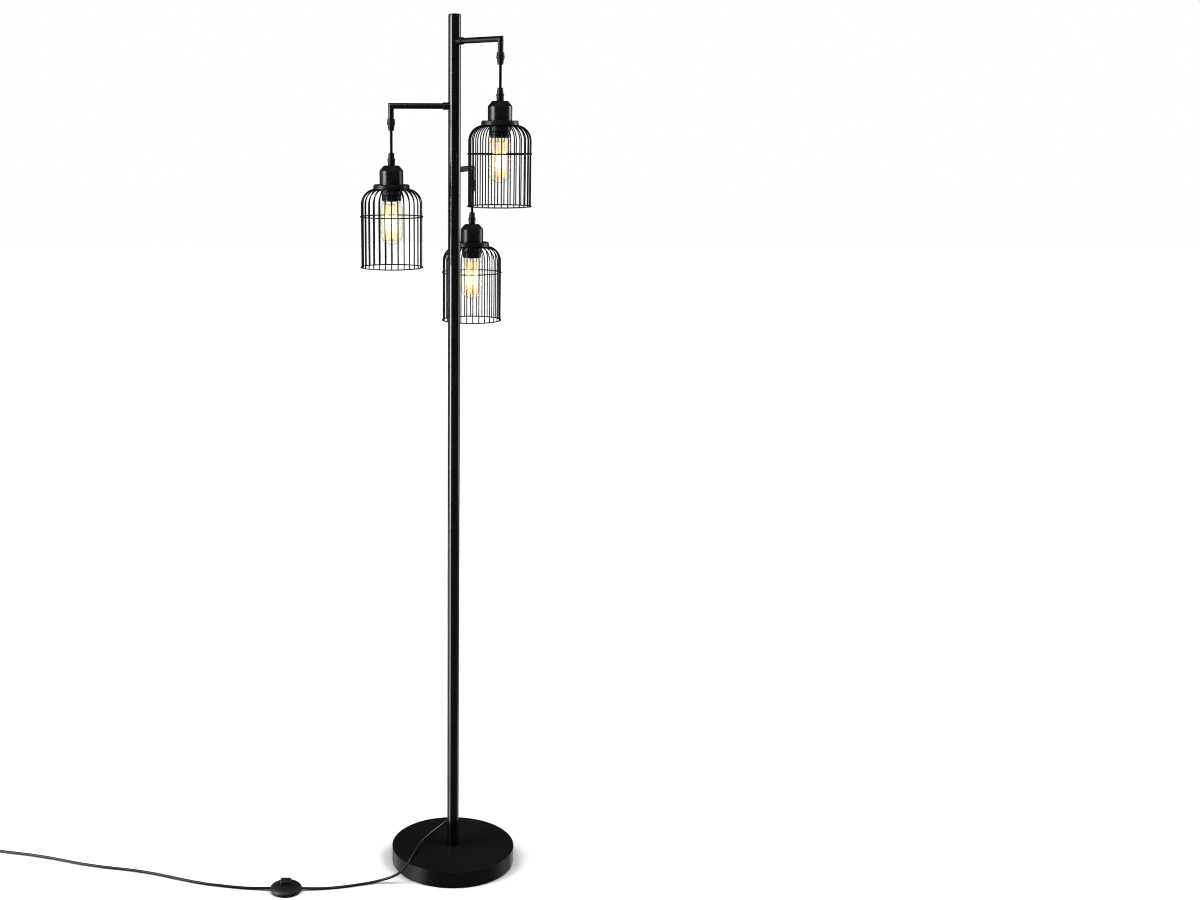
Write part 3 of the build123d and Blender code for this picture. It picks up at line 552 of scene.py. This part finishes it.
world = bpy.data.worlds.new("studio")
scene.world = world
world.use_nodes = True
nt = world.node_tree
nt.nodes.clear()
out = nt.nodes.new("ShaderNodeOutputWorld")
back = nt.nodes.new("ShaderNodeBackground")
back.inputs["Color"].default_value = (1.0, 1.0, 1.0, 1.0)
path = nt.nodes.new("ShaderNodeLightPath")
soft = math_node(nt, "MULTIPLY", path.outputs["Is Glossy Ray"], math_node(nt, "SUBTRACT", 1.0, path.outputs["Is Singular Ray"]))
facing = nt.nodes.new("ShaderNodeSeparateXYZ")
nt.links.new(nt.nodes.new("ShaderNodeTexCoord").outputs["Generated"], facing.inputs[0])
dim = remap(nt, facing.outputs["Y"], 0.40, 0.17, -0.3, 0.5)
# diffuse light: a dim dome and a long bright strip overhead, so that shadows spread to both sides
across = remap(nt, math_node(nt, "ABSOLUTE", facing.outputs["X"], 0.0), 1.0, 0.0, 0.66, 0.76)
front = remap(nt, facing.outputs["Y"], 0.0, 1.0, -0.44, -0.36)
back_edge = remap(nt, facing.outputs["Y"], 1.0, 0.0, 0.0, 0.07)
upper = math_node(nt, "GREATER_THAN", facing.outputs["Z"], 0.0)
strip = math_node(nt, "MULTIPLY", math_node(nt, "MULTIPLY", across, upper), math_node(nt, "MULTIPLY", front, back_edge))
apart = remap(nt, math_node(nt, "ABSOLUTE", facing.outputs["X"], 0.0), 0.25, 1.0, 0.22, 0.38)
bright = math_node(nt, "ADD", math_node(nt, "MULTIPLY", math_node(nt, "MULTIPLY", strip, apart), 6.6), 0.28)
seen = math_node(nt, "MAXIMUM", path.outputs["Is Camera Ray"], path.outputs["Is Transmission Ray"])
seen = math_node(nt, "MAXIMUM", seen, math_node(nt, "MULTIPLY", path.outputs["Is Singular Ray"], 0.86))
bright = math_node(nt, "ADD", math_node(nt, "MULTIPLY", bright, math_node(nt, "SUBTRACT", 1.0, seen)), seen)
keep = math_node(nt, "SUBTRACT", 1.0, soft)
nt.links.new(math_node(nt, "ADD", math_node(nt, "MULTIPLY", bright, keep), math_node(nt, "MULTIPLY", dim, soft)), back.inputs["Strength"])
nt.links.new(back.outputs[0], out.inputs["Surface"])


def softbox(name, at, look, width, height, radiance):
    """Area light of that brightness, seen only in glossy reflections."""
    data = bpy.data.lights.new(name, "AREA")
    data.shape = "RECTANGLE"
    data.size, data.size_y = width, height
    data.energy = radiance * math.pi * width * height
    o = bpy.data.objects.new(name, data)
    o.location = at
    o.rotation_mode = "QUATERNION"
    o.rotation_quaternion = (Vector(look) - Vector(at)).to_track_quat("-Z", "Y")
    scene.collection.objects.link(o)
    o.visible_camera = False
    o.visible_diffuse = False
    o.visible_transmission = False
    return o


def wall_of_light(name, degrees_, distance, width, bands):
    """Softboxes stacked at one side; degrees count from the camera's side, left negative."""
    a = math.radians(degrees_)
    for k, (low, high, radiance) in enumerate(bands):
        z = (low + high) / 2
        softbox(f"{name}_{k}", (math.sin(a) * distance, -math.cos(a) * distance, z), (0, 0, z), width, high - low, radiance)


wall_of_light("left_inner", -70, 2.2, 1.24, [(1.35, 2.7, 16.5), (0.2, 1.35, 16.5), (-0.55, 0.2, 11.5), (-1.7, -0.55, 8.0)])
wall_of_light("left_outer", -99, 2.2, 0.80, [(1.35, 2.7, 2.8), (0.2, 1.35, 1.3), (-0.55, 0.2, 0.9), (-1.7, -0.55, 1.9)])
wall_of_light("left_back", -132, 2.2, 1.35, [(0.2, 2.7, 0.4), (-1.7, 0.2, 2.0)])
wall_of_light("right", 106, 2.4, 1.40, [(1.2, 2.7, 8.4), (0.2, 1.2, 4.0), (-0.6, 0.2, 0.9), (-1.7, -0.6, 2.4)])
wall_of_light("right_back", 148, 2.4, 1.1, [(0.2, 2.7, 0.4), (-1.7, 0.2, 2.0)])
softbox("above", (0.0, -1.7, 3.6), (0, 0, 1.6), 1.8, 0.8, 14.0)

# ------------------------------------------------------------------ print finish: bloom round the filaments, then contrast
scene.use_nodes = True
nt = scene.node_tree
nt.nodes.clear()
layers = nt.nodes.new("CompositorNodeRLayers")
glare = nt.nodes.new("CompositorNodeGlare")
glare.glare_type = "BLOOM"
for key, v in (("Threshold", 1.4), ("Smoothness", 0.2), ("Strength", 0.25), ("Size", 0.25), ("Maximum", 6.0)):
    glare.inputs[key].default_value = v
glare.inputs["Clamp"].default_value = True
contrast = nt.nodes.new("CompositorNodeGamma")
contrast.inputs["Gamma"].default_value = 1.5
final = nt.nodes.new("CompositorNodeComposite")
nt.links.new(layers.outputs["Image"], glare.inputs["Image"])
nt.links.new(glare.outputs["Image"], contrast.inputs["Image"])
nt.links.new(contrast.outputs[0], final.inputs["Image"])
